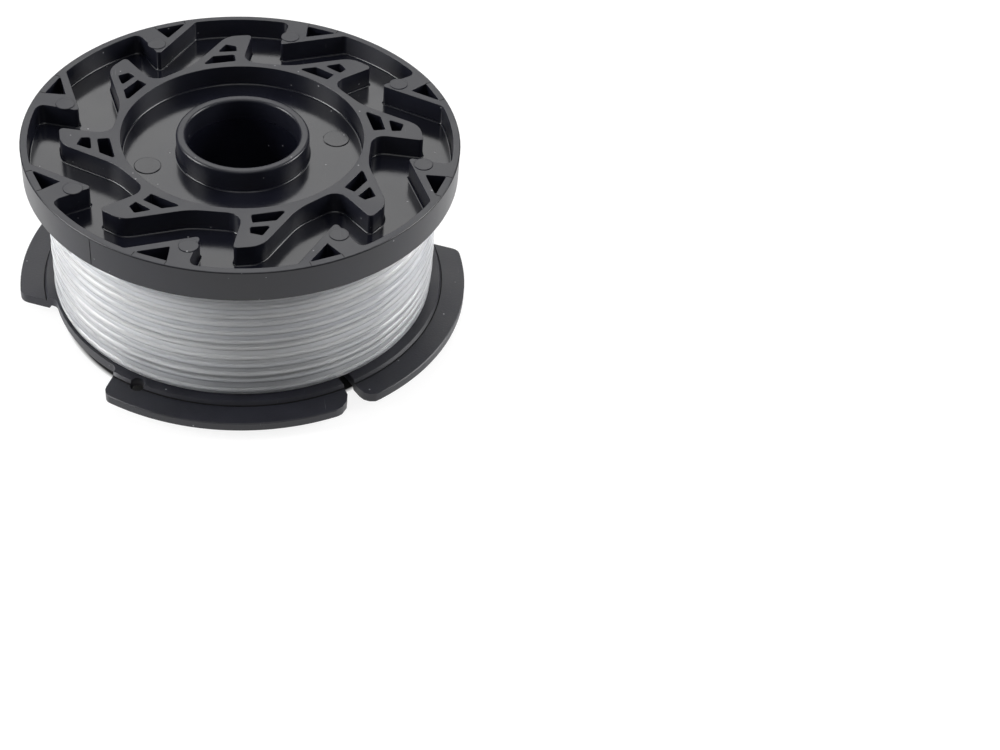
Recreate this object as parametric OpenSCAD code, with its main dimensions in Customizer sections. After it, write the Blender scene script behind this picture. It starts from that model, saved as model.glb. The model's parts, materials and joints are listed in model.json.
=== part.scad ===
// String-trimmer line reel: a one-piece moulded spool with a length of cutting line wound on it.
// The drive side is up and the line side is down. Seen from above, angles count from +X
// towards +Y. The reel's axis is Z, and Z = 0 is the lowest point of the line's parked end.
// The moulding is drawn as five regions that meet face to face.

/* [Line flange] */
// Diameter over the wings
wing_d = 73; // [71:0.5:76]
// Depth of the gaps between the wings
wing_depth = 5.3; // [5.1:0.1:5.8]
// Width of the wings' stepped band
wing_band = 4.2; // [3.8:0.1:4.3]
// Thickness
flange_t = 1.6; // [1.3:0.1:2.4]
// How far the wings stand proud of the face inside them
wing_step = 0.65; // [0.4:0.05:0.9]
// Direction of the first line slot
slot_at = -60.9; // [-75:0.1:-45]
// Width of the line slots
slot_w = 1.9; // [1.8:0.05:2.3]
// Turn from a slot to the middle of its cross leg
leg_turn = 9.9; // [8.5:0.1:11]
// Length of a cross leg past its middle, on the closed side
leg_reach = 3.2; // [2.4:0.1:4]
// Sweep of the plain wings, from the slot to the outer corner
plain_sweep = 68.8; // [60:0.1:72]
// Further sweep of a plain wing at its foot
plain_flare = 5.9; // [3:0.1:8]
// Sweep of the eyelet wings, from the slot to the outer corner
eyelet_sweep = 66.5; // [65:0.1:72]
// Further sweep of an eyelet wing at its foot
eyelet_flare = 2.8; // [1:0.1:5]
// Turn from a slot back to the eyelet of the same wing
eyelet_turn = 60.5; // [50:0.1:62]
// Bore of the eyelets
eyelet_d = 2.3; // [2:0.05:2.6]
// Rounding of the wing's corners at the slot, plain side and eyelet side
slot_corners = [2.3, 3.7]; // [0.5:0.1:4]
// Rounding of the wing's free corners
end_corner = 2; // [0.5:0.1:2.5]
// Rounding where a wing's end runs out into the flange
foot_corner = 1.3; // [0.5:0.1:2]
// Rounding of the outer edges of both flanges
edge_r = 0.15; // [0.1:0.05:0.5]

/* [Drum] */
// Depth of the line wound on the drum
wind_depth = 8.6; // [8.2:0.1:9.2]
// Wall
drum_wall = 1.3; // [1:0.05:1.8]
// Width of the winding space between the flanges
wind_w = 21.85; // [20:0.05:26]
// Diameter of the ears that anchor the line
ear_d = 6.9; // [5.5:0.1:7.5]
// Distance of the ears' centres inside the drum's bore
ear_inset = 1.6; // [1.3:0.1:2.3]
// Turn from a slot to its ear
ear_turn = 15.6; // [14.5:0.1:17]
// Bore of the anchor holes
anchor_d = 2.1; // [2:0.05:2.4]
// Depth of the anchor holes
anchor_depth = 20; // [10:0.5:21]
// Diameter of the anchor holes' countersunk mouths
anchor_mouth_d = 2.8; // [2.5:0.1:3.4]

/* [Drive flange] */
// Distance of the rim inside the wings' reach
rim_inset = 2.4; // [1.9:0.1:3]
// Height of the rim
rim_h = 5.3; // [4.4:0.1:6.5]
// Wall of the rim
rim_wall = 1.1; // [0.8:0.05:1.4]
// Thickness of the web
web_t = 1.8; // [1.2:0.1:2.4]
// Number of teeth on the rim, and of teeth on the index ring
teeth = 8; // [8:1:8]
// Reach of the rim teeth from the rim's wall, before rounding
rim_tooth_reach = 6.8; // [6.2:0.1:7.2]
// Rounding of the rim teeth's points
rim_tip_round = 0.5; // [0.3:0.1:1]
// Direction of a rim tooth's point
rim_tip_at = 121; // [119:0.1:123]
// Turn from a rim tooth's point back to the foot of its long flank
rim_long_turn = 17.7; // [17:0.1:20]
// Turn from a rim tooth's point back to the foot of its short flank
rim_short_turn = 0.4; // [0.2:0.1:1.5]

/* [Index ring] */
// Diameter of the ring's inner wall
ring_bore_d = 37.8; // [35:0.1:40]
// Wall of the ring at the valleys between the teeth
ring_wall = 1.35; // [1.2:0.05:1.8]
// Height of the teeth's hooked corners over the valleys, before rounding
hook_reach = 8.15; // [7.6:0.05:8.6]
// Direction of the first valley
valley_at = 89.6; // [86:0.1:92]
// Turn by which a hooked corner overhangs its valley
hook_lean = 3.3; // [2:0.1:5]
// Rounding of the hooked corners
hook_round = 0.6; // [0.3:0.1:1.5]

/* [Hub] */
// Outside diameter on the drive side
hub_d = 20.8; // [20:0.1:22]
// Bore on the drive side
pilot_d = 17.8; // [17:0.1:18.4]
// Length of the drive-side bore
pilot_len = 14; // [10:0.5:18]
// Outside diameter at the line-side end
nose_d = 18.6; // [18:0.1:19.4]
// Bore of the end wall
pivot_d = 12.8; // [11:0.1:13.4]
// Thickness of the end wall
end_wall = 2.4; // [2:0.1:4]
// Distance of the end wall's outer face inside the wings' face
nose_recess = 4.2; // [2:0.1:7]
// How far the hub's lip stands proud of the rim
lip_proud = 0.3; // [0:0.05:1]
// Width of the square moulding gates in the end wall
gate_w = 2.1; // [1.6:0.1:2.3]
// Depth of the moulding gates
gate_depth = 0.7; // [0.4:0.1:1.2]

/* [Cutting line] */
// Diameter of the line
line_d = 1.65; // [1.5:0.05:1.7]
// Distance of the wound line inside the flange, between the wings
wound_inset = 0.2; // [0.2:0.1:1]
// Gap between the turns of the outer layer
turn_gap = 0.5; // [0.41:0.01:0.8]
// Room between the winding and each flange
side_gap = 0.1; // [0.05:0.05:0.4]
// How far the parked end stands out of its eyelet
stub_proud = 1.9; // [1.9:0.1:4]
// Height of the loop at the anchored end, to the middle of the line
loop_rise = 1.2; // [0.95:0.05:1.4]
// Room past the line's end in the anchor hole
anchor_room = 1; // [0.5:0.1:4]
// Direction in which the outer layer ends
wound_end_at = -22; // [-40:1:-5]

/* [Hidden] */
$fn = 96;
plastic = [0.09, 0.09, 0.1];
nylon = [0.86, 0.88, 0.9];
cut = 0.5;

wing_r = wing_d / 2;
base_r = wing_r - wing_depth;
step_r = wing_r - wing_band;
rim_r = wing_r - rim_inset;
wound_r = base_r - wound_inset;
drum_r = wound_r - wind_depth;
mouth_r = drum_r - drum_wall;
ear_r = mouth_r - ear_inset;
hub_r = hub_d / 2;
ring_bore_r = ring_bore_d / 2;
rim_bore_r = rim_r - rim_wall;
rim_tip_r = rim_bore_r - rim_tooth_reach;
valley_r = ring_bore_r + ring_wall;
hook_r = valley_r + hook_reach;
pitch_turn = 360 / teeth;

// Heights, from the parked end upwards
face_z = stub_proud;
inner_z = face_z + wing_step;
drum_z = inner_z + flange_t;
web_z = drum_z + wind_w;
deck_z = web_z + web_t;
rim_z = web_z + rim_h;
nose_z = face_z + nose_recess;
lip_z = rim_z + lip_proud;

// ---- Plane geometry ----

function polar(r, a) = [r * cos(a), r * sin(a)];
function unit(v) = v / norm(v);
function smooth(t) = let (u = min(max(t, 0), 1)) u * u * (3 - 2 * u);

// The points of an arc of radius r that rounds corner b between its neighbours a and c
function corner_arc(a, b, c, r, steps = 4) =
    let (u = unit(a - b), v = unit(c - b))
    let (half = acos(u * v) / 2)
    let (centre = b + unit(u + v) * r / sin(half))
    let (from = b + u * r / tan(half) - centre, to = b + v * r / tan(half) - centre)
    let (start = atan2(from.y, from.x))
    let (sweep = (atan2(to.y, to.x) - start + 540) % 360 - 180)
    [for (i = [0:steps]) centre + polar(r, start + sweep * i / steps)];

// A closed outline from corners of the form [distance, direction, rounding]
function rounded(corners) =
    let (n = len(corners))
    let (p = [for (c = corners) polar(c[0], c[1])])
    [for (i = [0:n - 1]) each corners[i][2] > 0
        ? corner_arc(p[(i + n - 1) % n], p[i], p[(i + 1) % n], corners[i][2])
        : [p[i]]];

// Corners on a circle, between two directions
function circle_corners(r, from, to, step = 4) =
    let (n = max(2, ceil(abs(to - from) / step)))
    [for (i = [1:n - 1]) [r, from + (to - from) * i / n, 0]];

function turned(corners, a) = [for (c = corners) [c[0], c[1] + a, c[2]]];

// ---- Drive flange: web, rim and the rim's teeth ----

rim_foot_rounds = [0.8, 1.2];
rim_core_depth = 3.15;
rim_core_round = 0.15;
rim_core_at = [[rim_bore_r, -14.7], [rim_bore_r, -5.9], [rim_bore_r - rim_core_depth, -7.25]];

// The channel's outer wall, as corners for one tooth and the rim up to the next one
function rim_tooth_corners() = concat(
    [[rim_bore_r, rim_tip_at - rim_long_turn, rim_foot_rounds[0]]],
    [[rim_tip_r, rim_tip_at, rim_tip_round]],
    [[rim_bore_r, rim_tip_at - rim_short_turn, rim_foot_rounds[1]]],
    circle_corners(rim_bore_r, rim_tip_at - rim_short_turn, rim_tip_at - rim_long_turn + pitch_turn)
);

module channel_outline() {
    polygon(rounded([for (k = [0:teeth - 1]) each turned(rim_tooth_corners(), k * pitch_turn)]));
}

// A flat ring with rounded outer edges
module ring_blank(r_in, r_out, h) {
    rotate_extrude() polygon([
        [r_in, 0],
        [r_out - edge_r, 0],
        [r_out - edge_r * 0.3, edge_r * 0.3],
        [r_out, edge_r],
        [r_out, h - edge_r],
        [r_out - edge_r * 0.3, h - edge_r * 0.3],
        [r_out - edge_r, h],
        [r_in, h]
    ]);
}

module drive_flange() {
    color(plastic)
    difference() {
        translate([0, 0, web_z]) ring_blank(hub_r, rim_r, rim_h);
        translate([0, 0, deck_z]) linear_extrude(rim_h) channel_outline();
        for (k = [0:teeth - 1]) {
            translate([0, 0, deck_z])
                rotate(rim_tip_at + k * pitch_turn)
                linear_extrude(rim_h)
                polygon(rounded([for (c = rim_core_at) [c[0], c[1], rim_core_round]]));
        }
    }
}

// ---- Index ring: the eight hooked teeth round the hub's recess ----

valley_round = 2.2;
back_round = 3.5;
back_foot_round = 10;

// Height of a point on a tooth, as a share of the hooked corner's, and its turn from the valley
back_corner_at = [0.957, 5.25];
back_foot_at = [0.06, 22.7];
inboard_core = [[0.025, 18.2], [0.258, 12.5], [0.264, 3.4], [0.037, 3.1]];
outboard_core = [[0.393, 9.9], [0.65, 6.2], [0.564, 2.3], [0.393, 2.3]];
core_round = 0.25;

function tooth_corner(at, round) = [valley_r + hook_reach * at[0], at[1], round];

// Corners of one hooked tooth, from the valley before it
function hook_corners() = [
    [valley_r, valley_at, valley_round],
    [hook_r, valley_at - hook_lean, hook_round],
    each turned([tooth_corner(back_corner_at, back_round), tooth_corner(back_foot_at, back_foot_round)], valley_at)
];

module index_ring() {
    color(plastic)
    translate([0, 0, deck_z])
    linear_extrude(rim_z - deck_z)
    difference() {
        polygon(rounded([for (k = [0:teeth - 1]) each turned(hook_corners(), k * pitch_turn)]));
        circle(ring_bore_r);
        for (k = [0:teeth - 1]) {
            rotate(valley_at + k * pitch_turn) {
                polygon(rounded([for (c = inboard_core) tooth_corner(c, core_round)]));
                polygon(rounded([for (c = outboard_core) tooth_corner(c, core_round)]));
            }
        }
    }
}

// ---- Hub: a tapered cup with a stepped bore ----

pilot_r = pilot_d / 2;
nose_r = nose_d / 2;
pivot_r = pivot_d / 2;
hub_wall = hub_r - pilot_r;
lip_round = 0.5;
gate_turn = -75;
gates = 3;
pip_r = 0.55;
pip_h = 0.4;

module hub() {
    taper_z = web_z - 2;
    gate_r = (nose_r + pivot_r) / 2;
    color(plastic)
    difference() {
        rotate_extrude() polygon([
            [pivot_r, nose_z],
            [nose_r, nose_z],
            [hub_r, taper_z],
            [hub_r, lip_z - lip_round],
            [hub_r - lip_round * 0.3, lip_z - lip_round * 0.3],
            [hub_r - lip_round, lip_z],
            [pilot_r + lip_round, lip_z],
            [pilot_r + lip_round * 0.3, lip_z - lip_round * 0.3],
            [pilot_r, lip_z - lip_round],
            [pilot_r, lip_z - pilot_len],
            [nose_r - hub_wall, nose_z + end_wall],
            [pivot_r, nose_z + end_wall]
        ]);
        for (k = [0:gates - 1]) {
            rotate(gate_turn + k * 360 / gates)
                translate([gate_r, 0, nose_z])
                difference() {
                    cube([gate_w, gate_w, 2 * gate_depth], center = true);
                    translate([0, 0, gate_depth - pip_h]) cylinder(r = pip_r, h = pip_h + cut);
                }
        }
    }
}

// ---- Drum, with a column behind each ear ----

module at_ears() {
    for (side = [0, 180]) {
        rotate(slot_at + ear_turn + side) translate([ear_r, 0, 0]) children();
    }
}

module drum() {
    color(plastic)
    difference() {
        translate([0, 0, drum_z]) cylinder(r = drum_r, h = wind_w);
        difference() {
            translate([0, 0, drum_z - cut]) cylinder(r = mouth_r, h = wind_w + 2 * cut);
            at_ears() translate([0, 0, drum_z - 2 * cut]) cylinder(d = ear_d, h = wind_w + 4 * cut);
        }
        at_ears() translate([0, 0, inner_z]) cylinder(d = anchor_d, h = anchor_depth);
    }
}

// ---- Line flange: four wings, two L-shaped slots, two ears and two eyelets ----

// The cross legs run beside the drum, so that the line drops straight onto it
leg_gap = 0.05;
leg_r = drum_r + leg_gap + slot_w / 2;
leg_from = -leg_r * tan(leg_turn);
leg_corner = 0.4;
slot_half = asin(slot_w / 2 / wing_r);
// Corners on the outer circle are pushed out so that their chords clear it
outer_step = 8;
outer_r = wing_r / cos(outer_step / 2);

// Half of the flange's outline, from one slot to the other
function wing_corners() = concat(
    [[norm([leg_r - slot_w / 2, slot_w / 2]), atan2(slot_w / 2, leg_r - slot_w / 2), leg_corner]],
    [[outer_r, slot_half, slot_corners[0]]],
    circle_corners(outer_r, slot_half, plain_sweep, outer_step),
    [[outer_r, plain_sweep, end_corner]],
    [[base_r, plain_sweep + plain_flare, foot_corner]],
    circle_corners(base_r, plain_sweep + plain_flare, 180 - eyelet_sweep - eyelet_flare),
    [[base_r, 180 - eyelet_sweep - eyelet_flare, foot_corner]],
    [[outer_r, 180 - eyelet_sweep, end_corner]],
    circle_corners(outer_r, 180 - eyelet_sweep, 180 - slot_half, outer_step),
    [[outer_r, 180 - slot_half, slot_corners[1]]],
    [[norm([leg_r - slot_w / 2, slot_w / 2]), 180 - atan2(slot_w / 2, leg_r - slot_w / 2), leg_corner]]
);

module flange_outline() {
    polygon(rounded(concat(wing_corners(), turned(wing_corners(), 180))));
}

// The flange's section, with the wings' step in both faces
module flange_section() {
    step_run = wing_step / 2;
    polygon([
        [mouth_r, inner_z],
        [step_r - step_run, inner_z],
        [step_r, face_z],
        [wing_r - edge_r, face_z],
        [wing_r, face_z + edge_r],
        [wing_r, face_z + flange_t - edge_r],
        [wing_r - edge_r, face_z + flange_t],
        [step_r + step_run, face_z + flange_t],
        [step_r, drum_z],
        [mouth_r, drum_z]
    ]);
}

module cross_leg() {
    rotate(leg_turn)
        translate([leg_r - slot_w / 2, leg_from])
        square([slot_w, leg_reach - leg_from]);
}

module line_flange() {
    eyelet_r = step_r;
    color(plastic)
    difference() {
        union() {
            intersection() {
                rotate_extrude() flange_section();
                rotate(slot_at) linear_extrude(drum_z + cut) flange_outline();
            }
            at_ears() translate([0, 0, inner_z]) cylinder(d = ear_d, h = flange_t);
        }
        for (side = [0, 180]) {
            rotate(slot_at + side) {
                linear_extrude(drum_z + cut) cross_leg();
                rotate(-eyelet_turn) translate([eyelet_r, 0, 0]) cylinder(d = eyelet_d, h = drum_z + cut);
            }
        }
        at_ears() translate([0, 0, inner_z]) {
            cylinder(d = anchor_d, h = anchor_depth);
            cylinder(d1 = anchor_mouth_d, d2 = anchor_d, h = (anchor_mouth_d - anchor_d));
        }
    }
}

// ---- Cutting line ----

rings = 24;
wound_sides = 6;
end_sides = 8;
line_r = line_d / 2;
turn_r = wound_r - line_r;
turn_pitch = line_d + turn_gap;
turns = min(24, floor(4 * (wind_w - 2 * side_gap - line_d) / turn_pitch) / 4);
top_turn_z = web_z - side_gap - line_r;
low_turn_z = top_turn_z - turns * turn_pitch;
wound_start_at = wound_end_at - 360 * turns;
dive_bend = 1.5 * line_d;
dive_turn = asin(dive_bend / (turn_r - dive_bend));
relief_r = (turn_r - dive_bend) * cos(dive_turn) - line_d;
relief_h = low_turn_z + line_d - drum_z - side_gap;
seat_gap = 0.03;
inner_r = turn_r * cos(180 / rings) - line_r - seat_gap;

function spot(r, a, z) = [r * cos(a), r * sin(a), z];

// One tube with square ends along a path, from its first direction to its last
module tube(path, d, sides, first, last) {
    n = len(path);
    t = [for (i = [0:n - 1]) i == 0 ? first : i == n - 1 ? last : unit(path[i + 1] - path[i - 1])];
    seed = abs(first.z) > 0.9 ? [1, 0, 0] : [0, 0, 1];
    across = [for (i = 0, v = unit(seed - (seed * t[0]) * t[0]); i < n;
        i = i + 1, v = i < n ? unit(v - (v * t[i]) * t[i]) : v) v];
    points = [for (i = [0:n - 1]) for (k = [0:sides - 1])
        path[i] + d / 2 * (cos(360 * k / sides) * across[i] + sin(360 * k / sides) * cross(t[i], across[i]))];
    walls = [for (i = [0:n - 2]) for (k = [0:sides - 1])
        let (a = i * sides + k, b = i * sides + (k + 1) % sides)
        each [[a, a + sides, b], [b, a + sides, b + sides]]];
    caps = [for (k = [1:sides - 2]) each [[0, k, k + 1],
        [(n - 1) * sides, (n - 1) * sides + k + 1, (n - 1) * sides + k]]];
    polyhedron(points, concat(walls, caps));
}

// The outer layer: out of the layer below, round the drum, and off along its last turn
dive_steps = 6;
helix_first = polar(1, wound_start_at - dive_turn);
helix_slope = turn_pitch / (2 * PI * turn_r);
helix_last = unit([-sin(wound_end_at), cos(wound_end_at), helix_slope]);
function dive_path() =
    let (centre = spot(turn_r - dive_bend, wound_start_at, low_turn_z))
    let (from = wound_start_at - dive_turn - 90)
    concat(
        [spot(relief_r, wound_start_at - dive_turn, low_turn_z)],
        [for (i = [0:dive_steps - 1]) centre + spot(dive_bend, from + (90 + dive_turn) * i / dive_steps, 0)]
    );
function helix_path() = [for (i = [0:turns * rings])
    spot(turn_r, wound_start_at + 360 * i / rings, low_turn_z + turn_pitch * i / rings)];
outer_end = spot(turn_r, wound_end_at, top_turn_z) + line_d * helix_last;
outer_path = concat(dive_path(), helix_path(), [outer_end]);

// Least room between turns, from each point to those half a turn or more along the line
function turn_room(p) = min([for (i = [0:len(p) - 1]) for (j = [i + rings / 2:1:len(p) - 1])
    norm(p[i] - p[j])]) - line_d;

module line_outer_layer() {
    echo(least_gap_between_turns_mm = turn_room(outer_path), turns = turns);
    color(nylon)
        tube(outer_path, line_d, wound_sides, [helix_first.x, helix_first.y, 0], helix_last);
}

// The layers below, as one plain body on the drum
module line_inner_layers() {
    drum_gap = 0.05;
    color(nylon)
    translate([0, 0, drum_z + side_gap])
    rotate_extrude() polygon([
        [drum_r + drum_gap, 0],
        [relief_r, 0],
        [relief_r, relief_h],
        [inner_r, relief_h],
        [inner_r, wind_w - 2 * side_gap],
        [drum_r + drum_gap, wind_w - 2 * side_gap]
    ]);
}

// The anchored end: out of the anchor hole, over the face, and in through the cross leg
leg_drop_at = -1.9;
module line_anchored_end() {
    from = polar(ear_r, slot_at + ear_turn);
    foot = polar(1, slot_at + leg_turn);
    to = leg_r * foot + leg_drop_at * [-foot.y, foot.x];
    span = norm(to - from);
    along = unit(to - from);
    loop = [for (a = [0:15:180])
        let (p = from + (a > 90 ? span - loop_rise * (1 + cos(a)) : loop_rise * (1 - cos(a))) * along)
        [p.x, p.y, inner_z - loop_rise * sin(a)]];
    path = concat(
        [[from.x, from.y, inner_z + anchor_depth - anchor_room]],
        loop,
        [[to.x, to.y, drum_z + side_gap]]
    );
    color(nylon) tube(path, line_d, end_sides, [0, 0, -1], [0, 0, 1]);
}

// The free end: off the last turn, across the others, and out through the far eyelet
cross_gap = 0.08;
park_bend = 2.2;
park_z = drum_z + park_bend + 0.3;
free_steps = 26;
module line_free_end() {
    eyelet_at = slot_at + 180 - eyelet_turn;
    start_at = wound_end_at + atan(line_d / turn_r);
    start_r = norm([outer_end.x, outer_end.y]);
    last_r = sqrt(step_r * step_r - park_bend * park_bend);
    last_at = eyelet_at - atan(park_bend / last_r);
    cross_r = turn_r + line_d + cross_gap;
    last_dir = polar(1, last_at + 90);
    last_spot = spot(last_r, last_at, park_z);
    run = [for (i = [0:free_steps])
        let (u = i / free_steps)
        let (r = start_r + (cross_r - start_r) * smooth(u / 0.3) + (last_r - cross_r) * smooth((u - 0.7) / 0.3))
        spot(r, start_at + (last_at - start_at) * u, outer_end.z - (outer_end.z - park_z) * smooth((u - 0.1) / 0.9))];
    bend = [for (a = [15:15:90])
        [last_spot.x + park_bend * sin(a) * last_dir.x, last_spot.y + park_bend * sin(a) * last_dir.y,
            park_z - park_bend * (1 - cos(a))]];
    end = bend[len(bend) - 1];
    path = concat(run, bend, [[end.x, end.y, 0]]);
    color(nylon) tube(path, line_d, end_sides, helix_last, [0, 0, -1]);
}

drive_flange();
index_ring();
hub();
drum();
line_flange();
line_inner_layers();
line_outer_layer();
line_anchored_end();
line_free_end();
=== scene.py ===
"""Looks of a string-trimmer line reel: a black moulded spool wound with semi-clear nylon line."""

import json
import math
import random

import bpy
from mathutils import Matrix, Vector

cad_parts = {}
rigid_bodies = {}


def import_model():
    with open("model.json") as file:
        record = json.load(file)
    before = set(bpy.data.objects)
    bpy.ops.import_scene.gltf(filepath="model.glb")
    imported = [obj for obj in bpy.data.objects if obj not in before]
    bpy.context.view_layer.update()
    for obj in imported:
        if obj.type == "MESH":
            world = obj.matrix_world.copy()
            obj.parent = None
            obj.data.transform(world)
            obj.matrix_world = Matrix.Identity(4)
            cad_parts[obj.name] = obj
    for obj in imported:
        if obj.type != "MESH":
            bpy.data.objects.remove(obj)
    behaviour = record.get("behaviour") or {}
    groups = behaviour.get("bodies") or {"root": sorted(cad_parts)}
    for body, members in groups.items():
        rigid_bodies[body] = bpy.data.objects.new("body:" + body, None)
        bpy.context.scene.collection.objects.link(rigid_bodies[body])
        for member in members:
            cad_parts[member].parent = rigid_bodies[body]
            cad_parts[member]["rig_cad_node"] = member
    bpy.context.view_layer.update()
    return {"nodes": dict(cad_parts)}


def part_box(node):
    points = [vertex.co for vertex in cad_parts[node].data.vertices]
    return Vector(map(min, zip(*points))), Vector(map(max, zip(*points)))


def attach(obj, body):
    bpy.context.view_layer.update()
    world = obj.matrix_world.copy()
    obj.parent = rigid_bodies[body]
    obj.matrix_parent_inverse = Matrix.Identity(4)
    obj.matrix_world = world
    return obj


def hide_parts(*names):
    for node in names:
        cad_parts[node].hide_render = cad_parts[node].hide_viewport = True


MM = 0.001
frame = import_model()

# ---- Sizes, in millimetres and degrees, as the part's source has them ----

FACE_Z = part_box("line_flange")[0][2] / MM
DRUM_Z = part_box("drum")[0][2] / MM
WEB_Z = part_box("drum")[1][2] / MM
DECK_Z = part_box("index_ring")[0][2] / MM
RIM_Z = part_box("index_ring")[1][2] / MM
RIM_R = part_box("drive_flange")[1][0] / MM
RIM_BORE_R = RIM_R - 1.1
WING_STEP = 0.65
INNER_Z = FACE_Z + WING_STEP
BAND_TOP_Z = FACE_Z + 1.6
STEP_R = 32.3
STEP_FOOT_R = STEP_R + WING_STEP / 2
DRUM_R = 22.4
EYELET_AT = 58.6

LINE_D = 1.65
LINE_R = LINE_D / 2
WOUND_R = 31.0
TURN_R = WOUND_R - LINE_R
LAYER_TURNS = 13
SIDE_GAP = 0.1
TOP_TURN_Z = WEB_Z - SIDE_GAP - LINE_R
LOW_TURN_Z = DRUM_Z + SIDE_GAP + LINE_R
WOUND_END_AT = -22.0


def polar(r, degrees, z=0.0):
    """The point, in metres, at a radius and height in millimetres and a direction in degrees."""
    a = math.radians(degrees)
    return Vector((r * math.cos(a), r * math.sin(a), z)) * MM


def smooth(t):
    t = min(max(t, 0.0), 1.0)
    return t * t * (3 - 2 * t)


def deselect_all():
    bpy.ops.object.select_all(action="DESELECT")


def make_active(obj):
    deselect_all()
    obj.select_set(True)
    bpy.context.view_layer.objects.active = obj


# ---- Nodes that every finish is made of ----


def new_material(name):
    mat = bpy.data.materials.new(name)
    mat.use_nodes = True
    nodes = mat.node_tree.nodes
    place = nodes.new("ShaderNodeTexCoord").outputs["Object"]
    return mat, nodes, mat.node_tree.links, nodes["Principled BSDF"], place


def fill(links, socket, part):
    """Gives a socket what it works from: another socket, or a plain value."""
    if isinstance(part, bpy.types.NodeSocket):
        links.new(part, socket)
    else:
        socket.default_value = part


def noise(nodes, links, vector, scale, detail=2.0, roughness=0.5):
    tex = nodes.new("ShaderNodeTexNoise")
    tex.inputs["Scale"].default_value = scale
    tex.inputs["Detail"].default_value = detail
    tex.inputs["Roughness"].default_value = roughness
    links.new(vector, tex.inputs["Vector"])
    return tex.outputs["Fac"]


def ramp(nodes, links, fac, stops):
    node = nodes.new("ShaderNodeValToRGB")
    while len(node.color_ramp.elements) < len(stops):
        node.color_ramp.elements.new(0.5)
    for element, (place, colour) in zip(node.color_ramp.elements, stops):
        element.position = place
        element.color = (*colour, 1.0)
    links.new(fac, node.inputs["Fac"])
    return node.outputs["Color"]


def stretched(nodes, links, place, scale, turn=(0, 0, 0)):
    """Object coordinates turned and scaled, so that a pattern lies along the piece."""
    node = nodes.new("ShaderNodeMapping")
    node.inputs["Rotation"].default_value = turn
    node.inputs["Scale"].default_value = scale
    links.new(place, node.inputs["Vector"])
    return node.outputs["Vector"]


def height_of(nodes, links, place):
    node = nodes.new("ShaderNodeSeparateXYZ")
    links.new(place, node.inputs["Vector"])
    return node.outputs["Z"]


def reach(nodes, links, value, start, end, low=0.0, high=1.0):
    """Goes from low to high while the value goes from start to end."""
    node = nodes.new("ShaderNodeMapRange")
    node.inputs["From Min"].default_value = start
    node.inputs["From Max"].default_value = end
    node.inputs["To Min"].default_value = low
    node.inputs["To Max"].default_value = high
    links.new(value, node.inputs["Value"])
    return node.outputs["Result"]


def maths(nodes, links, operation, *parts):
    node = nodes.new("ShaderNodeMath")
    node.operation = operation
    for socket, part in zip(node.inputs, parts):
        fill(links, socket, part)
    return node.outputs["Value"]


def vector_maths(nodes, links, operation, *parts):
    node = nodes.new("ShaderNodeVectorMath")
    node.operation = operation
    for socket, part in zip(node.inputs, parts):
        fill(links, socket, part)
    return node.outputs


def colour_mix(nodes, links, share, first, second, blend="MIX"):
    node = nodes.new("ShaderNodeMix")
    node.data_type = "RGBA"
    node.blend_type = blend
    fill(links, node.inputs["Factor"], share)
    fill(links, node.inputs["A"], first)
    fill(links, node.inputs["B"], second)
    return node.outputs["Result"]


def relief(nodes, links, height, strength, depth, under=None):
    """Relief of a depth in millimetres, on top of the relief under it."""
    node = nodes.new("ShaderNodeBump")
    fill(links, node.inputs["Strength"], strength)
    node.inputs["Distance"].default_value = depth * MM
    links.new(height, node.inputs["Height"])
    if under:
        links.new(under, node.inputs["Normal"])
    return node.outputs["Normal"]


def grey(value):
    return (value, value, value)


def shades(colour, dark, light):
    """A darker and a lighter shade of one colour."""
    return tuple(c * dark for c in colour), tuple(c * light for c in colour)


# ---- The black mouldings ----

DRIVE_SHADE = (0.0065, 0.007, 0.012)
LINE_SIDE_SHADE = (0.0085, 0.0088, 0.014)
FLOW_SCALE = 140
DUST_SCALE = 620
WEAR_SCALE = 85
HAIR_SCALE = (5200, 190, 700)
HAIR_TURN = (0.4, 0.3, 0.6)
MARK_SHADE = (0.3, 0.3, 0.31, 1)
SATIN_RELIEF = 0.4
POLISHED_RELIEF = 0.1
FLOW_RELIEF = 0.3
FLOW_DEPTH = 0.1
POLISH_ENDS_Z = (DECK_Z + 0.05, DECK_Z + 0.35)
POLISH_ENDS_R = (RIM_BORE_R, RIM_BORE_R + 0.3)


def satin_share(nodes, links, place):
    """0 on the polished floors inside the rim, 1 on everything else."""
    flat = vector_maths(nodes, links, "MULTIPLY", place, (1, 1, 0))["Vector"]
    out = vector_maths(nodes, links, "LENGTH", flat)["Value"]
    shares = []
    for value, (start, end) in ((height_of(nodes, links, place), POLISH_ENDS_Z), (out, POLISH_ENDS_R)):
        shares.append(reach(nodes, links, value, start * MM, end * MM))
    return maths(nodes, links, "MAXIMUM", *shares)


def surface_marks(nodes, links, place):
    """Specks of dust here and there, and hairline scuffs where the moulding is worn."""
    cells = nodes.new("ShaderNodeTexVoronoi")
    cells.inputs["Scale"].default_value = DUST_SCALE
    links.new(place, cells.inputs["Vector"])
    spot = ramp(nodes, links, cells.outputs["Distance"], [(0.06, grey(1.0)), (0.1, grey(0.0))])
    chosen = ramp(nodes, links, cells.outputs["Color"], [(0.68, grey(0.0)), (0.74, grey(0.8))])
    dust = maths(nodes, links, "MULTIPLY", spot, chosen)
    along = stretched(nodes, links, place, HAIR_SCALE, HAIR_TURN)
    hairs = ramp(nodes, links, noise(nodes, links, along, 1.0, 1.0), [(0.74, grey(0.0)), (0.82, grey(0.3))])
    wear = noise(nodes, links, place, WEAR_SCALE, 1.0)
    worn = ramp(nodes, links, wear, [(0.56, grey(0.0)), (0.66, grey(1.0))])
    return maths(nodes, links, "MULTIPLY_ADD", hairs, worn, dust)


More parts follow.
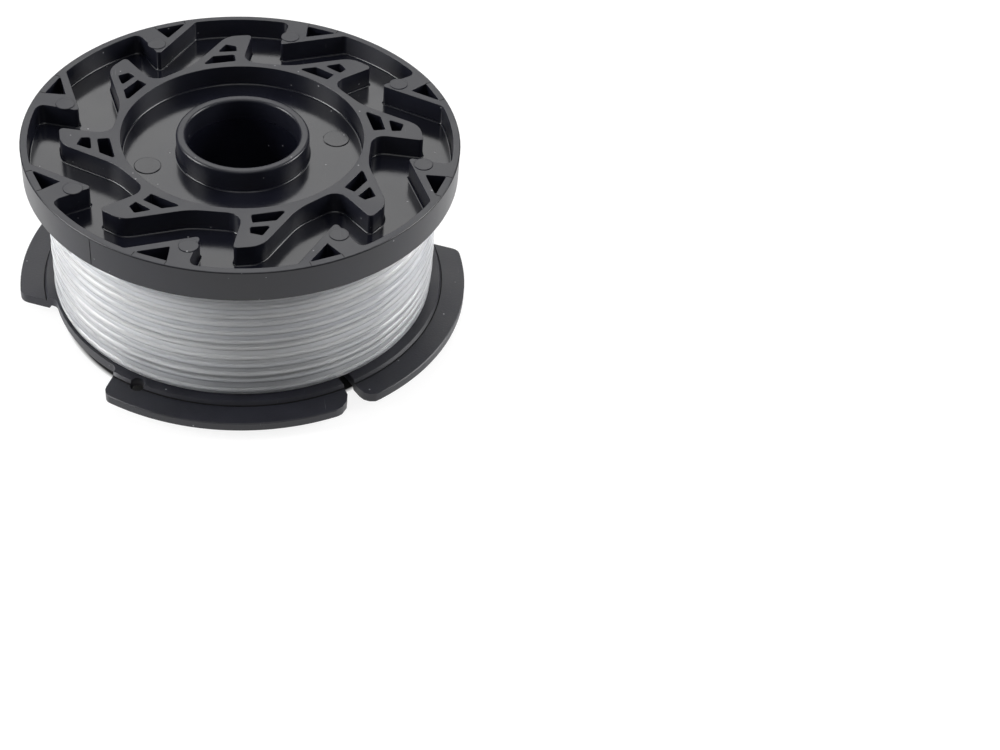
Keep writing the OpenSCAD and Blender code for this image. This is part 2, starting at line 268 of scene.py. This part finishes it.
def moulded_black(name, shade, rough, grain_scale, grain_depth, polish=None):
    """Black nylon moulding: satin, with spark-eroded grain, slow flow marks, light scuffs and dust."""
    mat, nodes, links, shader, place = new_material(name)
    flow = noise(nodes, links, place, FLOW_SCALE, 3.0)
    grain = noise(nodes, links, place, grain_scale, 2.0, 0.6)
    dark, light = shades(shade, 0.8, 1.25)
    body = ramp(nodes, links, flow, [(0.3, dark), (0.7, light)])
    marks = surface_marks(nodes, links, place)
    links.new(colour_mix(nodes, links, marks, body, MARK_SHADE), shader.inputs["Base Color"])
    satin = ramp(nodes, links, flow, [(0.25, grey(rough - 0.04)), (0.75, grey(rough + 0.06))])
    strength = SATIN_RELIEF
    if polish:
        share = satin_share(nodes, links, place)
        gloss = ramp(nodes, links, flow, [(0.25, grey(polish - 0.03)), (0.75, grey(polish + 0.05))])
        satin = colour_mix(nodes, links, share, gloss, satin)
        strength = reach(nodes, links, share, 0.0, 1.0, POLISHED_RELIEF, SATIN_RELIEF)
    links.new(satin, shader.inputs["Roughness"])
    fine = relief(nodes, links, grain, strength, grain_depth)
    links.new(relief(nodes, links, flow, FLOW_RELIEF, FLOW_DEPTH, fine), shader.inputs["Normal"])
    return mat


def dark_seam_and_step_shadow():
    """The dark of a fine line where two parts of the mould met, and the painted shadow at the foot of each
    wing's step.
    """
    mat, nodes, links, shader, place = new_material("dark_seam_and_step_shadow")
    flow = noise(nodes, links, place, 600)
    links.new(ramp(nodes, links, flow, [(0.3, grey(0.001)), (0.7, grey(0.004))]), shader.inputs["Base Color"])
    shader.inputs["Roughness"].default_value = 0.7
    shader.inputs["Specular IOR Level"].default_value = 0.15
    return mat


# The seam material also colours the painted shadow at the foot of each wing's step
DRIVE_BLACK = moulded_black("drive_side_black", DRIVE_SHADE, rough=0.32, grain_scale=5200,
                            grain_depth=0.012, polish=0.15)
LINE_SIDE_BLACK = moulded_black("line_side_black", LINE_SIDE_SHADE, rough=0.42, grain_scale=2600,
                                grain_depth=0.06)
DARK_SEAM_AND_STEP_SHADOW = dark_seam_and_step_shadow()

# ---- The nylon ----

NYLON_SHADE = (0.88, 0.9, 0.93)
STRAND_SHADE = (0.8, 0.82, 0.85)
CLOUD_SHADE = (0.74, 0.75, 0.78)
# Painted shade: how dark the low turns and the top turn are made, next to the two flanges
LOW_TURNS_PAINTED_SHADE = grey(0.52)
TOP_TURN_PAINTED_SHADE = grey(0.66)
NYLON_IOR = 1.53
MILK_DEPTH = 3.0
STREAK_SCALE = (50, 50, 2200)
STREAK_RELIEF = 0.3
STREAK_DEPTH = 0.03
CLOUD_SCALE = (12, 12, 420)
TOP_TURN_SHARE = 1 - (LINE_D + SIDE_GAP) / (WEB_Z - DRUM_Z)
PAINTED_SHADE_FADE = 0.012


def semi_clear_nylon(name, shade, rough, clear=0.0):
    """Extruded nylon line: milky, glossy and faintly streaked, with painted shade low down and on the top
    turn.
    """
    mat, nodes, links, shader, place = new_material(name)
    streak = noise(nodes, links, stretched(nodes, links, place, STREAK_SCALE), 1.0, 3.0)
    cloud = noise(nodes, links, stretched(nodes, links, place, CLOUD_SCALE), 1.0)
    dark, light = shades(shade, 0.9, 1.05)
    streaked = ramp(nodes, links, streak, [(0.3, dark), (0.7, light)])
    clouded = ramp(nodes, links, cloud, [(0.36, CLOUD_SHADE), (0.6, grey(1.0))])
    tone = colour_mix(nodes, links, 1.0, streaked, clouded, "MULTIPLY")
    # Painted shade: a height ramp darkens the low turns and the top turn, standing in for the shade of the
    # flanges.
    share = reach(nodes, links, height_of(nodes, links, place), DRUM_Z * MM, WEB_Z * MM)
    painted_shade = ramp(nodes, links, share, [
        (0.0, LOW_TURNS_PAINTED_SHADE), (0.5, grey(1.0)),
        (TOP_TURN_SHARE - PAINTED_SHADE_FADE, grey(1.0)), (TOP_TURN_SHARE + PAINTED_SHADE_FADE, TOP_TURN_PAINTED_SHADE)])
    links.new(colour_mix(nodes, links, 1.0, tone, painted_shade, "MULTIPLY"), shader.inputs["Base Color"])
    shader.inputs["Roughness"].default_value = rough
    shader.inputs["IOR"].default_value = NYLON_IOR
    shader.inputs["Transmission Weight"].default_value = clear
    shader.inputs["Subsurface Weight"].default_value = 1.0
    shader.inputs["Subsurface Radius"].default_value = (1.0, 1.0, 1.0)
    shader.inputs["Subsurface Scale"].default_value = MILK_DEPTH * MM
    links.new(relief(nodes, links, streak, STREAK_RELIEF, STREAK_DEPTH), shader.inputs["Normal"])
    return mat


NYLON = semi_clear_nylon("nylon_line", NYLON_SHADE, rough=0.14, clear=0.1)
UNDER_NYLON = semi_clear_nylon("nylon_line_below", NYLON_SHADE, rough=0.35)
STRAND_NYLON = semi_clear_nylon("nylon_strand", STRAND_SHADE, rough=0.14, clear=0.65)


def finish_piece(obj, name, mat, replaces=()):
    obj.name = name
    obj.data.name = name
    obj.data.materials.clear()
    obj.data.materials.append(mat)
    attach(obj, "root")
    if replaces:
        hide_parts(*replaces)


# ---- The moulding, with its edges and feet rounded as the mould leaves them ----

EDGE_ROUND = 0.1
FOOT_ROUND = 0.3
WIDE_FLOOR = 40.0
RING_SINK = 0.3
HUB_GROWTH = 1.0005
MERGE = 0.002
SAME_PLACE = 0.01
FLAT_ANGLE = math.radians(0.6)
EDGE_ANGLE = math.radians(40)
SMOOTH_ANGLE = math.radians(50)
LEVEL_NORMAL = 0.7


def select_nothing(mesh):
    for part in (mesh.polygons, mesh.vertices, mesh.edges):
        part.foreach_set("select", [False] * len(part))


def merged_copy(node):
    """A copy of a CAD region as one merged mesh with flat faces."""
    make_active(frame["nodes"][node])
    bpy.ops.object.duplicate()
    obj = bpy.context.active_object
    if "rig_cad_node" in obj:
        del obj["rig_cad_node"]
    bpy.ops.object.mode_set(mode="EDIT")
    bpy.ops.mesh.select_mode(type="EDGE")
    bpy.ops.mesh.select_all(action="SELECT")
    bpy.ops.mesh.remove_doubles(threshold=MERGE * MM)
    bpy.ops.mesh.customdata_custom_splitnormals_clear()
    bpy.ops.mesh.dissolve_limited(angle_limit=FLAT_ANGLE)
    bpy.ops.object.mode_set(mode="OBJECT")
    return obj


def push_level(obj, level, depth):
    """Moves the vertices at one height down, so that a wall passes through the floor that it stands on."""
    for vert in obj.data.vertices:
        if abs(vert.co.z - level * MM) < SAME_PLACE * MM:
            vert.co.z -= depth * MM


def join_to(base, part):
    make_active(base)
    bpy.ops.object.modifier_add(type="BOOLEAN")
    union = base.modifiers[-1]
    union.operation = "UNION"
    union.solver = "EXACT"
    union.object = part
    bpy.ops.object.modifier_apply(modifier=union.name)
    bpy.data.objects.remove(part)


def wide_floor_edges(mesh, level):
    """The edges of the wide floors at one height, leaving out the floors of the small core-outs."""
    floors = [face for face in mesh.polygons
              if all(abs(mesh.vertices[v].co.z - level * MM) < SAME_PLACE * MM for v in face.vertices)]
    wide = [face for face in floors if face.area > WIDE_FLOOR * MM * MM]
    edges = {key for face in wide for key in face.edge_keys}
    for face in floors:
        if face not in wide and edges.intersection(face.edge_keys):
            edges.update(face.edge_keys)
    return edges


def select_feet(obj, level):
    """Selects the edges where walls stand on the wide floors at one height."""
    mesh = obj.data
    floor_edges = wide_floor_edges(mesh, level)
    walls = [face for face in mesh.polygons if abs(face.normal.z) < LEVEL_NORMAL]
    wall_edges = {key for face in walls for key in face.edge_keys}
    select_nothing(mesh)
    for edge in mesh.edges:
        edge.select = edge.key in floor_edges and edge.key in wall_edges


def rounded_moulding(obj, name, mat, nodes, floors=()):
    for level in floors:
        select_feet(obj, level)
        make_active(obj)
        bpy.ops.object.mode_set(mode="EDIT")
        bpy.ops.mesh.select_mode(type="EDGE")
        bpy.ops.mesh.bevel(offset=FOOT_ROUND * MM, segments=3, affect="EDGES", clamp_overlap=True)
        bpy.ops.object.mode_set(mode="OBJECT")
    make_active(obj)
    bpy.ops.object.mode_set(mode="EDIT")
    bpy.ops.mesh.select_mode(type="EDGE")
    bpy.ops.mesh.select_all(action="DESELECT")
    bpy.ops.mesh.edges_select_sharp(sharpness=EDGE_ANGLE)
    bpy.ops.mesh.bevel(offset=EDGE_ROUND * MM, segments=2, affect="EDGES", clamp_overlap=True)
    bpy.ops.object.mode_set(mode="OBJECT")
    bpy.ops.object.shade_smooth_by_angle(angle=SMOOTH_ANGLE)
    bpy.ops.object.modifier_add(type="WEIGHTED_NORMAL")
    obj.modifiers[-1].keep_sharp = True
    bpy.ops.object.modifier_apply(modifier=obj.modifiers[-1].name)
    finish_piece(obj, name, mat, nodes)


def drive_side():
    """The toothed flange, the index ring and the hub, grown together into one moulding."""
    base = merged_copy("drive_flange")
    ring = merged_copy("index_ring")
    push_level(ring, DECK_Z, RING_SINK)
    join_to(base, ring)
    hub = merged_copy("hub")
    hub.data.transform(Matrix.Diagonal((HUB_GROWTH, HUB_GROWTH, 1.0, 1.0)))
    join_to(base, hub)
    make_active(base)
    bpy.ops.object.mode_set(mode="EDIT")
    bpy.ops.mesh.select_all(action="SELECT")
    bpy.ops.mesh.remove_doubles(threshold=2 * MERGE * MM)
    bpy.ops.mesh.dissolve_limited(angle_limit=FLAT_ANGLE)
    bpy.ops.object.mode_set(mode="OBJECT")
    regions = ["drive_flange", "index_ring", "hub"]
    rounded_moulding(base, "drive_side_moulding", DRIVE_BLACK, regions, [DECK_Z])


# ---- The cutting line ----

TURN_STEPS = (1.95, 1.35, 1.75, 1.6, 1.9, 1.3, 1.75, 1.8, 1.45, 1.85, 1.4, 1.9)
TURN_SAG = (0.0, -0.18, -0.02, -0.1, 0.0, -0.17, -0.05, -0.14, 0.0, -0.16, -0.02, -0.12, -0.18, 0.0)
TURN_SPAN = TOP_TURN_Z - LOW_TURN_Z
CROSSING = (-52.0, 20.0)
LAYER_START_AT = -260.0
POINT_EVERY = 2.5
DRIFT = 0.09
DRIFT_SEED = 7
DRIFT_KNOTS = 3
SETTLE_TURNS = 0.2
RISE_TURNS = 0.08
GROOVE_FILL = 0.52
CORE_GAP = 0.05

FREE_BEND_R = 2.2
FREE_BEND_LIFT = 0.3
FREE_END_GAP = 0.08
FREE_END_POINTS = 60
FREE_LIFT_UNTIL = 0.3
FREE_FALL_FROM = 0.1
FREE_LEAVE_FROM = 0.7
FREE_BEND_POINTS = 8

EAR_AT = -45.3
EAR_R = 19.5
LEG_AT = -51.0
LEG_R = DRUM_R + 1.0
SLOT_SIDE = 1.9
LOOP_RISE = 1.2
LOOP_POINTS = 24
ANCHOR_DEPTH = 19


def line_tube(name, path, mat, replaces, radius=LINE_R, roundness=4):
    """A length of line along a path, as one closed tube that takes the place of the named CAD nodes."""
    curve = bpy.data.curves.new(name, "CURVE")
    curve.dimensions = "3D"
    curve.bevel_depth = radius * MM
    curve.bevel_resolution = roundness
    curve.use_fill_caps = True
    spline = curve.splines.new("POLY")
    spline.points.add(len(path) - 1)
    for point, spot in zip(spline.points, path):
        point.co = (*spot, 1.0)
    obj = bpy.data.objects.new(name, curve)
    bpy.context.collection.objects.link(obj)
    make_active(obj)
    bpy.ops.object.convert(target="MESH")
    obj = bpy.context.active_object
    bpy.ops.object.mode_set(mode="EDIT")
    bpy.ops.mesh.select_all(action="SELECT")
    bpy.ops.mesh.remove_doubles(threshold=MERGE * MM)
    bpy.ops.mesh.normals_make_consistent(inside=False)
    bpy.ops.object.mode_set(mode="OBJECT")
    bpy.ops.object.shade_smooth_by_angle(angle=SMOOTH_ANGLE)
    finish_piece(obj, name, mat, replaces)


def layer_height(angle):
    """Height of the line in a layer: level most of the way round, then across to the next turn's place."""
    start, end = CROSSING
    gone = (angle - start) / 360
    turn = math.floor(gone)
    if turn < 0:
        return LOW_TURN_Z
    across = smooth((gone - turn) * 360 / (end - start))
    below = sum(TURN_STEPS[:turn])
    step = TURN_STEPS[min(turn, len(TURN_STEPS) - 1)]
    return LOW_TURN_Z + TURN_SPAN * (below + step * across) / sum(TURN_STEPS)


def between(knots, place):
    """The eased value between the two knots on either side of a place."""
    k = int(place)
    return knots[k] + (knots[k + 1] - knots[k]) * smooth(place - k)


def outer_layer_path():
    """The visible turns, each a little out of true, from the lowest to the last."""
    rng = random.Random(DRIFT_SEED)
    end_at = WOUND_END_AT + 360 * (LAYER_TURNS - 1)
    count = math.ceil((end_at - LAYER_START_AT) / POINT_EVERY)
    drift = [rng.uniform(-DRIFT, DRIFT) for _ in range(DRIFT_KNOTS * (LAYER_TURNS + 2))]
    path = []
    for i in range(count + 1):
        angle = min(LAYER_START_AT + POINT_EVERY * i, end_at)
        turns = (angle - LAYER_START_AT) / 360
        left = (end_at - angle) / 360
        ease = smooth(min(turns, left) / SETTLE_TURNS)
        dip = (1 - smooth(turns / RISE_TURNS)) * LINE_D
        r = TURN_R - dip + ease * between(TURN_SAG, turns)
        z = layer_height(angle) + ease * between(drift, DRIFT_KNOTS * turns)
        path.append(polar(r, angle, min(max(z, LOW_TURN_Z), TOP_TURN_Z)))
    return path


def free_end_path():
    """From the last turn down across the others, then through the eyelet."""
    park_z = DRUM_Z + FREE_BEND_R + FREE_BEND_LIFT
    last_r = math.sqrt(STEP_R ** 2 - FREE_BEND_R ** 2)
    last_at = EYELET_AT - math.degrees(math.atan(FREE_BEND_R / last_r))
    cross_r = TURN_R + LINE_D + FREE_END_GAP
    start_r = math.hypot(TURN_R, LINE_D)
    start_at = WOUND_END_AT + math.degrees(math.atan(LINE_D / TURN_R))
    path = [polar(TURN_R, WOUND_END_AT, TOP_TURN_Z)]
    for i in range(FREE_END_POINTS + 1):
        u = i / FREE_END_POINTS
        lift = smooth(u / FREE_LIFT_UNTIL)
        leave = smooth((u - FREE_LEAVE_FROM) / (1 - FREE_LEAVE_FROM))
        fall = smooth((u - FREE_FALL_FROM) / (1 - FREE_FALL_FROM))
        r = start_r + (cross_r - start_r) * lift + (last_r - cross_r) * leave
        z = TOP_TURN_Z - (TOP_TURN_Z - park_z) * fall
        path.append(polar(r, start_at + (last_at - start_at) * u, z))
    last = path[-1]
    along = polar(1, last_at + 90) / MM
    for k in range(1, FREE_BEND_POINTS + 1):
        a = math.radians(90 * k / FREE_BEND_POINTS)
        down = Vector((0, 0, FREE_BEND_R * MM * (1 - math.cos(a))))
        path.append(last + along * FREE_BEND_R * MM * math.sin(a) - down)
    path.append(Vector((path[-1].x, path[-1].y, 0.0)))
    return path


def anchored_end_path():
    """Out of the anchor hole, over the ear in a loop, and in through the slot to the drum."""
    start = polar(EAR_R, EAR_AT)
    normal = polar(1, LEG_AT) / MM
    across = Vector((-normal.y, normal.x, 0))
    stop = normal * LEG_R * MM - across * SLOT_SIDE * MM
    span = (stop - start).length
    along = (stop - start).normalized()
    path = [Vector((start.x, start.y, (INNER_Z + ANCHOR_DEPTH) * MM))]
    for k in range(LOOP_POINTS + 1):
        a = math.radians(180 * k / LOOP_POINTS)
        gone = LOOP_RISE * MM * (1 - math.cos(a))
        if k > LOOP_POINTS / 2:
            gone = span - LOOP_RISE * MM * (1 + math.cos(a))
        spot = start + along * gone
        path.append(Vector((spot.x, spot.y, (INNER_Z - LOOP_RISE * math.sin(a)) * MM)))
    path.append(Vector((stop.x, stop.y, (DRUM_Z + SIDE_GAP) * MM)))
    return path


def inner_layers():
    """The body of the layers below, turned from its profile."""
    z0 = DRUM_Z + SIDE_GAP
    z1 = WEB_Z - SIDE_GAP
    r0 = DRUM_R + CORE_GAP
    r1 = TURN_R + GROOVE_FILL
    bpy.ops.mesh.primitive_plane_add(size=1, location=(0, 0, 0))
    obj = bpy.context.active_object
    for vert, (r, z) in zip(obj.data.vertices, [(r0, z0), (r1, z0), (r0, z1), (r1, z1)]):
        vert.co = (r * MM, 0, z * MM)
    bpy.ops.object.mode_set(mode="EDIT")
    bpy.ops.mesh.select_all(action="SELECT")
    bpy.ops.mesh.delete(type="ONLY_FACE")
    bpy.ops.mesh.select_all(action="SELECT")
    bpy.ops.mesh.spin(steps=144, angle=math.tau, center=(0, 0, 0), axis=(0, 0, 1))
    bpy.ops.mesh.select_all(action="SELECT")
    bpy.ops.mesh.remove_doubles(threshold=MERGE * MM)
    bpy.ops.mesh.normals_make_consistent(inside=False)
    bpy.ops.object.mode_set(mode="OBJECT")
    bpy.ops.object.shade_smooth_by_angle(angle=EDGE_ANGLE)
    finish_piece(obj, "inner_layers_body", UNDER_NYLON, ["line_inner_layers"])


# ---- Marks of the mould, and the sign that shows which way to wind ----

TEETH = 8
TOOTH_PITCH = 360 // TEETH

FLOOR_MARK_R = 2.1
FLOOR_MARK_RISE = 0.16
FLOOR_MARK_OUT = 15.2
FLOOR_MARK_AT = 13.3
TOOTH_MARK_R = 1.5
TOOTH_MARK_RISE = 0.14
TOOTH_MARK_OUT = 28.9
TOOTH_MARK_AT = 118.6
MARK_INSET = 0.6
MARK_CROWN = 0.25
MARK_ANGLE = math.radians(20)

RIM_TIP_AT = 121.0
RIM_SEAM_AT = 228.8
RIM_SEAM_END = 0.3
EDGE_SEAM_IN = 0.01
EDGE_SEAM_DROP = 0.14
INSERT_SEAM_TURNS = (-14.7, -5.9)
INSERT_SEAM_END = 0.2
INSERT_SEAM_R = 0.045
SEAM_R = 0.05
# Radius of the painted shadow tube at the foot of each wing's step
STEP_SHADOW_R = 0.13
CHORD_SAG = 0.03
ARC_EVERY = 3

ARROW_BAND = (24.1, 25.0)
ARROW_NECK_AT = 262.5
ARROW_SPANS = ((-39.5, 107.5), (144.5, ARROW_NECK_AT))
ARROW_HEAD = ((ARROW_BAND[1], ARROW_NECK_AT), (27.3, 261.7), (25.6, 285.5), (21.9, 264.5),
              (ARROW_BAND[0], ARROW_NECK_AT))
ARROW_RIDGE = 0.12


def raised_disc(name, radius, height, at, mat):
    bpy.ops.mesh.primitive_cylinder_add(vertices=48, radius=radius * MM, depth=height * MM,
                                        location=(0, 0, 0))
    obj = bpy.context.active_object
    bpy.ops.object.mode_set(mode="EDIT")
    bpy.ops.mesh.select_all(action="SELECT")
    bpy.ops.transform.translate(value=at)
    bpy.ops.mesh.select_all(action="DESELECT")
    bpy.ops.mesh.select_mode(type="FACE")
    bpy.ops.object.mode_set(mode="OBJECT")
    for face in obj.data.polygons:
        face.select = face.normal.z > LEVEL_NORMAL
    bpy.ops.object.mode_set(mode="EDIT")
    bpy.ops.mesh.inset(thickness=height * MARK_INSET * MM)
    bpy.ops.transform.translate(value=(0, 0, height * MARK_CROWN * MM))
    bpy.ops.object.mode_set(mode="OBJECT")
    bpy.ops.object.shade_smooth_by_angle(angle=MARK_ANGLE)
    finish_piece(obj, name, mat)


def ejector_marks():
    """Where the mould's pins pushed the part out: two on the recess floor, one on each rim tooth."""
    for side in (0, 180):
        at = polar(FLOOR_MARK_OUT, FLOOR_MARK_AT + side, DECK_Z)
        raised_disc(f"floor_pin_mark_{side}", FLOOR_MARK_R, FLOOR_MARK_RISE, at, DRIVE_BLACK)
    for k in range(TEETH):
        at = polar(TOOTH_MARK_OUT, TOOTH_MARK_AT + TOOTH_PITCH * k, RIM_Z)
        raised_disc(f"tooth_pin_mark_{k}", TOOTH_MARK_R, TOOTH_MARK_RISE, at, DRIVE_BLACK)


def fine_line(name, path, radius, mat):
    """A fine ridge or seam that lies along a surface, half sunk in it."""
    line_tube(name, path, mat, [], radius, roundness=2)


def witness_lines():
    """Where the mould's parts met: round the rim's top edge, beside each tooth's core-out, down the rim."""
    points = range(360 // ARC_EVERY + 1)
    top = [polar(RIM_R - EDGE_SEAM_IN, ARC_EVERY * k, RIM_Z - EDGE_SEAM_DROP) for k in points]
    fine_line("rim_edge_seam", top, SEAM_R, DARK_SEAM_AND_STEP_SHADOW)
    for k in range(TEETH):
        for n, turn in enumerate(INSERT_SEAM_TURNS):
            at = RIM_TIP_AT + turn + TOOTH_PITCH * k
            out = [polar(r, at, RIM_Z) for r in (RIM_BORE_R, RIM_R - INSERT_SEAM_END)]
            fine_line(f"insert_seam_{k}_{n}", out, INSERT_SEAM_R, DARK_SEAM_AND_STEP_SHADOW)
    down = [polar(RIM_R, RIM_SEAM_AT, z) for z in (RIM_Z - RIM_SEAM_END, WEB_Z + RIM_SEAM_END)]
    fine_line("rim_wall_seam", down, SEAM_R, DARK_SEAM_AND_STEP_SHADOW)


def at_step_foot(spot):
    return abs(spot.z - BAND_TOP_Z) < SAME_PLACE and abs(spot.xy.length - STEP_FOOT_R) < CHORD_SAG


def step_shadow():
    """A painted shadow: a thin near-black tube along the foot of the step between the line flange and each of
    its wings.
    """
    obj = merged_copy("line_flange")
    mesh = obj.data
    select_nothing(mesh)
    for edge in mesh.edges:
        edge.select = not all(at_step_foot(mesh.vertices[v].co / MM) for v in edge.vertices)
    make_active(obj)
    bpy.ops.object.mode_set(mode="EDIT")
    bpy.ops.mesh.select_mode(type="EDGE")
    bpy.ops.mesh.delete(type="EDGE")
    bpy.ops.object.mode_set(mode="OBJECT")
    bpy.ops.object.convert(target="CURVE")
    obj = bpy.context.active_object
    obj.data.bevel_depth = STEP_SHADOW_R * MM
    obj.data.bevel_resolution = 2
    obj.data.use_fill_caps = True
    bpy.ops.object.convert(target="MESH")
    bpy.ops.object.shade_smooth_by_angle(angle=SMOOTH_ANGLE)
    finish_piece(bpy.context.active_object, "painted_step_shadow", DARK_SEAM_AND_STEP_SHADOW)


def winding_arrow():
    """The raised sign on the line side that shows which way the line is wound."""
    for n, (start, end) in enumerate(ARROW_SPANS):
        count = math.ceil((end - start) / ARC_EVERY)
        turns = [start + (end - start) * k / count for k in range(count + 1)]
        for r in ARROW_BAND:
            path = [polar(r, a, INNER_Z) for a in turns]
            fine_line(f"arrow_band_{n}_{r:.0f}", path, ARROW_RIDGE, LINE_SIDE_BLACK)
    corners = [polar(r, at, INNER_Z) for r, at in ARROW_HEAD]
    fine_line("arrow_head", corners, ARROW_RIDGE, LINE_SIDE_BLACK)


step_shadow()
drive_side()
rounded_moulding(merged_copy("drum"), "drum_moulding", LINE_SIDE_BLACK, ["drum"])
rounded_moulding(merged_copy("line_flange"), "line_flange_moulding", LINE_SIDE_BLACK, ["line_flange"])
inner_layers()
line_tube("outer_layer_turns", outer_layer_path(), NYLON, ["line_outer_layer"])
line_tube("free_end", free_end_path(), NYLON, ["line_free_end"])
line_tube("anchored_end", anchored_end_path(), STRAND_NYLON, ["line_anchored_end"])
ejector_marks()
witness_lines()
winding_arrow()


# ---- Studio: camera, pale floor and backdrop, soft lights ----

IMAGE = (1000, 750)
SENSOR = 36.0
FOCUS_PX = 1915.6
AXIS_AT_PX = (244.3, 208.5)
CAMERA_ELEVATION = 37.76
CAMERA_DISTANCE = 313.8
CAMERA_ROLL = -0.71
TARGET_Z = FACE_Z + 14.7

FLOOR_SIZE = 6
FLOOR_GLOW = 0.85
# Painted shadow on the floor: its colour, and the radii in millimetres over which it fades, under the reel
# and round the eyelets
FLOOR_PAINTED_SHADOW = (0.01, 0.01, 0.01, 1)
REEL_PAINTED_SHADOW = (29.8, 30.6)
EYELET_PAINTED_SHADOW = (2.8, 3.6)
EYELET_PAINTED_SHADOW_R = STEP_R - 1.2
BACKDROP_R = 2.9
BACKDROP_HEIGHT = 6
BACKDROP_Z = 2.5
WORLD_LIGHT = 0.16
LIGHT_AIM = (0, 0, 0.015)
# Name, width and height in metres, place, power in watts
SOFTBOXES = (
    ("overhead", (0.4, 0.4), (0.0, 0.1, 0.7), 0.8),
    ("back_glow", (1.0, 0.45), (-0.05, 0.68, 0.66), 3.3),
    ("left_key", (0.3, 0.4), (-0.55, -0.04, 0.22), 4.6),
    ("right_key", (0.3, 0.4), (0.55, 0.02, 0.22), 3.5),
    ("front_fill", (0.5, 0.3), (0.0, -0.5, 0.6), 0.75),
)


def pale_floor():
    """White paper that glows evenly, with a painted shadow: dark, unlit paper under the reel and round its
    eyelets.
    """
    mat, nodes, links, shader, place = new_material("pale_floor")
    paper = ramp(nodes, links, noise(nodes, links, place, 6), [(0.3, grey(0.22)), (0.7, grey(0.23))])
    turned = stretched(nodes, links, place, (1, 1, 1), (0, 0, math.radians(-EYELET_AT)))
    folded = vector_maths(nodes, links, "ABSOLUTE", turned)["Vector"]
    glow = FLOOR_GLOW
    # Painted shadow: the glow and the paper colour fade to near black under the reel and round the eyelets.
    for centre_r, (start, end) in ((0, REEL_PAINTED_SHADOW), (EYELET_PAINTED_SHADOW_R, EYELET_PAINTED_SHADOW)):
        away = vector_maths(nodes, links, "DISTANCE", folded, (centre_r * MM, 0, 0))["Value"]
        glow = maths(nodes, links, "MULTIPLY", reach(nodes, links, away, start * MM, end * MM), glow)
    links.new(colour_mix(nodes, links, glow, FLOOR_PAINTED_SHADOW, paper), shader.inputs["Base Color"])
    shader.inputs["Roughness"].default_value = 0.85
    shader.inputs["Emission Color"].default_value = (1, 1, 1, 1)
    links.new(glow, shader.inputs["Emission Strength"])
    return mat


def pale_backdrop():
    """Plain white paper far behind the reel, evenly lit."""
    mat, nodes, links, shader, place = new_material("pale_backdrop")
    paper = ramp(nodes, links, noise(nodes, links, place, 0.4), [(0.3, grey(0.86)), (0.7, grey(0.89))])
    links.new(paper, shader.inputs["Emission Color"])
    shader.inputs["Emission Strength"].default_value = 1.0
    shader.inputs["Base Color"].default_value = (0, 0, 0, 1)
    shader.inputs["Specular IOR Level"].default_value = 0.0
    return mat


def add_camera():
    elevation = math.radians(CAMERA_ELEVATION)
    target = Vector((0, 0, TARGET_Z * MM))
    back = Vector((0, -math.cos(elevation), math.sin(elevation)))
    data = bpy.data.cameras.new("camera")
    data.sensor_width = SENSOR
    data.lens = SENSOR * FOCUS_PX / IMAGE[0]
    data.clip_start = 0.01
    camera = bpy.data.objects.new("camera", data)
    bpy.context.collection.objects.link(camera)
    roll = Matrix.Rotation(math.radians(CAMERA_ROLL), 3, "Z").to_quaternion()
    square_on = back.to_track_quat("Z", "Y") @ roll
    across = (AXIS_AT_PX[0] - IMAGE[0] / 2) / FOCUS_PX
    up = (IMAGE[1] / 2 - AXIS_AT_PX[1]) / FOCUS_PX
    swing = Vector((across, up, -1)).rotation_difference(Vector((0, 0, -1)))
    camera.rotation_mode = "QUATERNION"
    camera.rotation_quaternion = square_on @ swing
    camera.location = target + back * CAMERA_DISTANCE * MM
    bpy.context.scene.camera = camera


def add_softbox(name, size, place, power):
    data = bpy.data.lights.new(name, "AREA")
    data.shape = "RECTANGLE"
    data.size, data.size_y = size
    data.energy = power
    light = bpy.data.objects.new(name, data)
    bpy.context.collection.objects.link(light)
    light.location = place
    light.rotation_euler = (Vector(place) - Vector(LIGHT_AIM)).to_track_quat("Z", "Y").to_euler()


def add_floor():
    deselect_all()
    bpy.ops.mesh.primitive_plane_add(size=FLOOR_SIZE, location=(0, 0, 0))
    floor = bpy.context.active_object
    floor.name = "floor"
    floor.data.materials.append(pale_floor())
    floor.visible_diffuse = False


def add_backdrop():
    """A wide paper cylinder that only the camera sees."""
    deselect_all()
    bpy.ops.mesh.primitive_cylinder_add(vertices=96, radius=BACKDROP_R, depth=BACKDROP_HEIGHT,
                                        end_fill_type="NOTHING", location=(0, 0, BACKDROP_Z))
    backdrop = bpy.context.active_object
    backdrop.name = "backdrop"
    backdrop.data.materials.append(pale_backdrop())
    backdrop.visible_diffuse = False
    backdrop.visible_glossy = False
    backdrop.visible_transmission = False
    backdrop.visible_shadow = False


def add_world():
    world = bpy.data.worlds.new("studio")
    world.use_nodes = True
    background = world.node_tree.nodes["Background"]
    background.inputs["Color"].default_value = (1, 1, 1, 1)
    background.inputs["Strength"].default_value = WORLD_LIGHT
    bpy.context.scene.world = world


add_camera()
add_floor()
add_backdrop()
add_world()
for softbox in SOFTBOXES:
    add_softbox(*softbox)
bpy.context.scene.view_settings.view_transform = "Standard"
